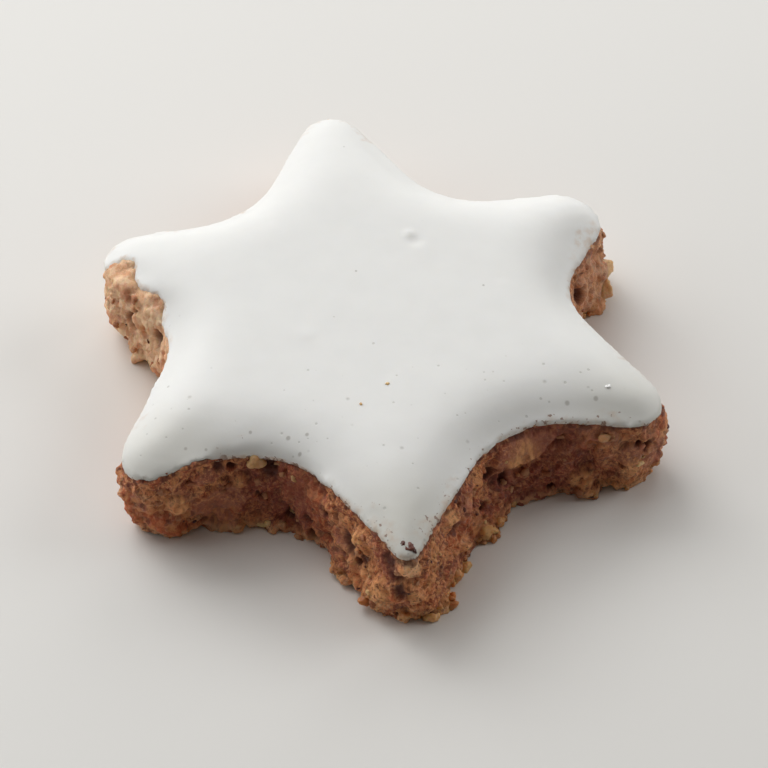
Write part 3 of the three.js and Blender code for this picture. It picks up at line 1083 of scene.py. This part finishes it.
# Bits placed by themselves: near which point, their three sizes and their turn in degrees.
YELLOW_CHIPS = (
    ((23.0, 9.7, 2.4), (1.9, 1.5, 1.7), 40),
    ((-12.1, -14.3, 7.5), (1.7, 0.8, 1.1), 10),
    ((18.2, -15.3, 7.0), (1.4, 0.4, 0.35), 5),
    ((21.0, -15.6, 3.6), (1.2, 0.4, 0.3), 12),
    ((22.9, 8.3, 1.2), (1.7, 1.3, 1.9), 15),
    ((-14.0, -15.6, 0.5), (1.3, 0.9, 0.8), 20),
    ((-11.6, -15.2, 0.5), (1.5, 0.8, 0.7), -15),
)
AMBER_CRUMBS = (
    ((7.6, -19.7, 0.9), (1.6, 1.1, 1.1), 30),
    ((8.8, -18.6, 0.8), (1.2, 1.0, 1.0), -20),
    ((8.3, -19.4, 0.4), (1.1, 0.9, 0.7), 60),
    ((5.9, -23.0, 0.6), (1.5, 1.0, 1.0), 50),
    ((5.0, -24.3, 0.6), (1.5, 1.0, 1.1), 15),
    ((3.6, -26.0, 0.5), (1.2, 0.8, 0.8), -30),
    ((0.6, -28.4, 0.5), (1.3, 0.9, 0.9), 0),
    ((-1.3, -28.3, 0.7), (1.1, 0.9, 1.0), 40),
    ((-4.6, -26.3, 0.6), (1.3, 1.0, 0.9), -10),
    ((23.9, 11.4, 1.8), (1.6, 1.3, 1.6), 25),
)
ICING_SPECKS = (
    ((-0.2, -9.7, 10.5), (0.34, 0.28, 0.2), 30),
    ((-2.8, -11.8, 10.4), (0.26, 0.2, 0.2), 80),
)
SUGAR_BEAD = (
    ((18.6, -11.8, 9.8), (0.55, 0.5, 0.4), 20),
)
TIP_NUT = (
    ((-0.7, -26.6, 8.7), (0.9, 0.7, 0.4), -30),
    ((-1.2, -26.2, 8.7), (0.5, 0.4, 0.3), 20),
    ((-0.3, -27.0, 8.5), (0.4, 0.45, 0.3), 30),
)


def single_bits(name, bits, host, material, sunk=0.0):
    """Makes one piece out of single bits that are each sunk halfway, or more, in the host."""
    mesh = bpy.data.meshes.new(name)
    with editing(mesh) as work:
        shade = work.verts.layers.float.new("shade")
        for index, (point, sizes, turn) in enumerate(bits):
            place, away = host.closest_point_on_mesh(Vector(point) * MM)[1:3]
            place = place - away * sunk * MM * min(sizes)
            pose = Matrix.LocRotScale(place, Matrix.Rotation(math.radians(turn), 3, "Z"),
                                      Vector(sizes) * MM)
            ball = bmesh.ops.create_icosphere(work, subdivisions=BIT_RINGS, radius=0.5,
                                              matrix=pose)
            for vertex in ball["verts"]:
                vertex[shade] = index % BIT_SHADES / (BIT_SHADES - 1)
    piece = new_piece(name, mesh)
    board = GeometryBoard(name, ("Size",))
    rough = lumpy(board, board.named("Geometry"), board.named("Size"))
    grow(piece, board.finish(board.rest(rough), material), size=bits[0][1][0] * MM)
    return piece


class STAR_OT_bits(bpy.types.Operator):
    """Place the chips, crumbs, specks, sugar bead and tip nut that stand out"""

    bl_idname = "star.place_bits"
    bl_label = "Single bits"

    def execute(self, context):
        scene = context.scene
        dough, icing = (bpy.data.objects[name] for name in ("dough_crumb", "sugar_icing"))
        chips = bit_material("yellow_chips", scene.star_almond, 0.4, 0.5)
        own(single_bits("yellow_chips", YELLOW_CHIPS, dough, chips), None)
        amber = bit_material("amber_crumbs", scene.star_foot, 0.4, 0.5)
        own(single_bits("amber_crumbs", AMBER_CRUMBS, dough, amber, 0.3), None)
        specks = bit_material("icing_specks", scene.star_almond, 0.6, 0.2)
        own(single_bits("icing_specks", ICING_SPECKS, icing, specks), None)
        sugar = ShaderBoard("sugar_bead").finish(
            base_color=opaque(scene.star_bead.glossy), roughness=0.12)
        own(single_bits("sugar_bead", SUGAR_BEAD, icing, sugar, 0.25), None)
        nut = bit_material("tip_nut", scene.star_skin_fleck, 0.4, 0.1)
        own(single_bits("tip_nut", TIP_NUT, icing, nut, 0.2), None)
        return {"FINISHED"}


# ---- The stage ----
VIEW_CENTRE = Vector((0.85, 0.27, 0)) * MM
FLOOR_SIZE = 900 * MM
LAMP_DISTANCE = 600 * MM
LAMP_SIZE = 400 * MM
SENSOR_WIDTH = 36  # in millimetres, as for the lens
NEAREST_SEEN = 10 * MM
ROOM_LIGHT = (1.0, 0.91, 0.79, 1.0)
LAMPS = {  # each lamp's azimuth and elevation in degrees, and its power in watts
    "low_window": (-135, 24, 0.64),
    "window": (-158, 40, 0.66),
    "high_window": (-135, 60, 0.40),
    "back_lamp": (158, 24, 0.44),
    "left_lamp": (-95, 22, 0.30),
    "side_lamp": (98, 30, 0.56),
    "overhead": (0, 90, 0.10),
}


def from_angle(azimuth, elevation, distance):
    """A place round the biscuit. Azimuth 0 looks along +Y and elevation is above the floor."""
    flat = math.cos(elevation) * distance
    return Vector((math.sin(azimuth) * flat, -math.cos(azimuth) * flat,
                   math.sin(elevation) * distance))


def aim(thing, place, target):
    thing.location = place
    thing.rotation_euler = (target - place).to_track_quat("-Z", "Y").to_euler()
    bpy.context.scene.collection.objects.link(thing)


def floor_material(tone):
    board = ShaderBoard("pale_floor")
    return board.finish(base_color=opaque(tone), roughness=0.55)


class STAR_OT_stage(bpy.types.Operator):
    """Make the camera, the pale floor and the soft light"""

    bl_idname = "star.make_stage"
    bl_label = "Stage"

    def execute(self, context):
        scene = context.scene
        settings = scene.star_stage
        camera = bpy.data.objects.new("camera", bpy.data.cameras.new("camera"))
        camera.data.lens = settings.lens
        camera.data.sensor_width = SENSOR_WIDTH
        camera.data.clip_start = NEAREST_SEEN
        place = from_angle(settings.azimuth, settings.elevation, settings.distance)
        aim(camera, VIEW_CENTRE + place, VIEW_CENTRE)
        scene.camera = camera

        for name, (azimuth, elevation, power) in LAMPS.items():
            lamp = bpy.data.objects.new(name, bpy.data.lights.new(name, "AREA"))
            lamp.data.shape = "DISK"
            lamp.data.size = LAMP_SIZE
            lamp.data.energy = power * settings.light
            place = from_angle(math.radians(azimuth), math.radians(elevation), LAMP_DISTANCE)
            aim(lamp, place, Vector())

        world = bpy.data.worlds.new("soft_room")
        world.use_nodes = True
        background = world.node_tree.nodes["Background"]
        background.inputs["Color"].default_value = ROOM_LIGHT
        background.inputs["Strength"].default_value = settings.fill
        scene.world = world
        scene.view_settings.view_transform = "Standard"

        mesh = bpy.data.meshes.new("floor")
        half = FLOOR_SIZE / 2
        mesh.from_pydata([(-half, -half, 0), (half, -half, 0), (half, half, 0), (-half, half, 0)],
                         [], [(0, 1, 2, 3)])
        floor = new_piece("floor", mesh)
        mesh.materials.append(floor_material(settings.floor))
        return {"FINISHED"}


# ---- The panel and the run ----
OPERATORS = (STAR_OT_stage, STAR_OT_dough, STAR_OT_icing, STAR_OT_crumbs, STAR_OT_bits)
GROUPS = {
    "star_skin": StarSkinSettings,
    "star_dough": DoughSettings,
    "star_icing": IcingSettings,
    "star_nut": NutSettings,
    "star_almond": AlmondSettings,
    "star_skin_fleck": SkinFleckSettings,
    "star_foot": FootCrumbSettings,
    "star_edge": EdgeCrumbSettings,
    "star_bead": SugarBeadSettings,
    "star_stage": StageSettings,
}


class STAR_PT_panel(bpy.types.Panel):
    """Lists the biscuit's pieces and their settings"""

    bl_idname = "STAR_PT_panel"
    bl_label = "Cinnamon Star"
    bl_space_type = "VIEW_3D"
    bl_region_type = "UI"
    bl_category = "Cinnamon Star"

    def draw(self, context):
        for operator in OPERATORS:
            self.layout.operator(operator.bl_idname)
        for name, group in GROUPS.items():
            box = self.layout.box()
            for key in group.__annotations__:
                box.prop(getattr(context.scene, name), key)


def register():
    for group in (*GROUPS.values(), *OPERATORS, STAR_PT_panel):
        bpy.utils.register_class(group)
    for name, group in GROUPS.items():
        setattr(bpy.types.Scene, name, PointerProperty(type=group))


def unregister():
    for name in GROUPS:
        delattr(bpy.types.Scene, name)
    for group in reversed((*GROUPS.values(), *OPERATORS, STAR_PT_panel)):
        bpy.utils.unregister_class(group)


def main():
    register()
    bpy.ops.star.make_stage()
    bpy.ops.star.make_dough()
    bpy.ops.star.make_icing()
    bpy.ops.star.scatter_crumbs()
    bpy.ops.star.place_bits()


if __name__ == "__main__":
    main()
